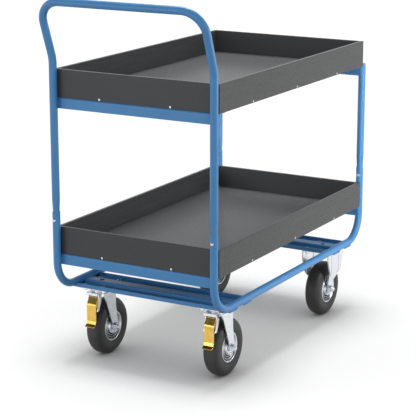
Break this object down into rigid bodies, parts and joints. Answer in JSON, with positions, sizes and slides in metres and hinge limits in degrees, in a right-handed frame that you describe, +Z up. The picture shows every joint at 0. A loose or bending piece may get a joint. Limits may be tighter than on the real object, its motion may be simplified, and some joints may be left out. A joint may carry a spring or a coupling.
{
  "type": "table trolley",
  "caption": "Table trolley of bent blue tube with shallow stacked board trays, a leaning push handle, braked swivel castors at the handle end and fixed castors at the far end.",
  "frame": {"origin": "on the floor, under the middle of the trolley's overall box", "axes": "+Z up, Y along the long side with the push handle at -Y, +X to the right of the person pushing"},
  "size_m": [0.5052, 0.9736, 1.0106],
  "materials": {
    "frame": "blue powder coat",
    "board": "charcoal film-faced board with a fine grain",
    "zinc": "bright zinc plate",
    "rim": "bright cast metal",
    "pedal": "yellow-passivated zinc plate",
    "tyre": "matt black solid rubber",
    "cap": "grey moulded plastic"
  },
  "bodies": {
    "frame": {"castor_bolts": "zinc", "castor_nuts": "zinc", "cross_member_far_end": "frame", "cross_member_handle_end": "frame", "far_post_left": "frame", "far_post_right": "frame", "fixed_axle_nuts": "zinc", "fixed_axles": "zinc", "fixed_fork_left": "zinc", "fixed_fork_right": "zinc", "joint_bolts": "zinc", "kingpins": "zinc", "lower_angle_far_end": "frame", "lower_angle_handle_end": "frame", "lower_tray_base": "board", "lower_tray_far_end": "board", "lower_tray_handle_end": "board", "lower_tray_left_side": "board", "lower_tray_right_side": "board", "post_caps": "cap", "push_handle": "frame", "side_tube_left": "frame", "side_tube_right": "frame", "swivel_plate_left": "zinc", "swivel_plate_right": "zinc", "tray_screws": "zinc", "upper_angle_far_end": "frame", "upper_angle_handle_end": "frame", "upper_tray_base": "board", "upper_tray_far_end": "board", "upper_tray_handle_end": "board", "upper_tray_left_side": "board", "upper_tray_right_side": "board"},
    "swivel_left": {"race_ring_left": "zinc", "swivel_fork_left": "zinc", "swivel_axle_left": "zinc", "swivel_axle_nut_left": "zinc", "brake_bracket_left": "zinc", "brake_pin_left": "zinc"},
    "brake_left": {"brake_pedal_left": "pedal"},
    "swivel_right": {"race_ring_right": "zinc", "swivel_fork_right": "zinc", "swivel_axle_right": "zinc", "swivel_axle_nut_right": "zinc", "brake_bracket_right": "zinc", "brake_pin_right": "zinc"},
    "brake_right": {"brake_pedal_right": "pedal"},
    "wheel_swivel_left": {"tyre_swivel_left": "tyre", "rim_swivel_left": "rim", "bearing_swivel_left": "zinc"},
    "wheel_swivel_right": {"tyre_swivel_right": "tyre", "rim_swivel_right": "rim", "bearing_swivel_right": "zinc"},
    "wheel_fixed_left": {"tyre_fixed_left": "tyre", "rim_fixed_left": "rim", "bearing_fixed_left": "zinc"},
    "wheel_fixed_right": {"tyre_fixed_right": "tyre", "rim_fixed_right": "rim", "bearing_fixed_right": "zinc"}
  },
  "joints": [
    {"name": "swivel_left_turn", "type": "hinge", "parent": "frame", "child": "swivel_left", "pos_m": [-0.185, -0.28915, 0.2], "axis": [0, 0, 1], "continuous": true},
    {"name": "brake_left_tilt", "type": "hinge", "parent": "swivel_left", "child": "brake_left", "pos_m": [-0.185, -0.32715, 0.174], "axis": [1, 0, 0], "range_deg": [-12, 0]},
    {"name": "swivel_right_turn", "type": "hinge", "parent": "frame", "child": "swivel_right", "pos_m": [0.185, -0.28915, 0.2], "axis": [0, 0, 1], "continuous": true},
    {"name": "brake_right_tilt", "type": "hinge", "parent": "swivel_right", "child": "brake_right", "pos_m": [0.185, -0.32715, 0.174], "axis": [1, 0, 0], "range_deg": [-12, 0]},
    {"name": "wheel_swivel_left_spin", "type": "hinge", "parent": "swivel_left", "child": "wheel_swivel_left", "pos_m": [-0.185, -0.26715, 0.08], "axis": [1, 0, 0], "continuous": true},
    {"name": "wheel_swivel_right_spin", "type": "hinge", "parent": "swivel_right", "child": "wheel_swivel_right", "pos_m": [0.185, -0.26715, 0.08], "axis": [1, 0, 0], "continuous": true},
    {"name": "wheel_fixed_left_spin", "type": "hinge", "parent": "frame", "child": "wheel_fixed_left", "pos_m": [-0.185, 0.34615, 0.08], "axis": [1, 0, 0], "continuous": true},
    {"name": "wheel_fixed_right_spin", "type": "hinge", "parent": "frame", "child": "wheel_fixed_right", "pos_m": [0.185, 0.34615, 0.08], "axis": [1, 0, 0], "continuous": true}
  ]
}
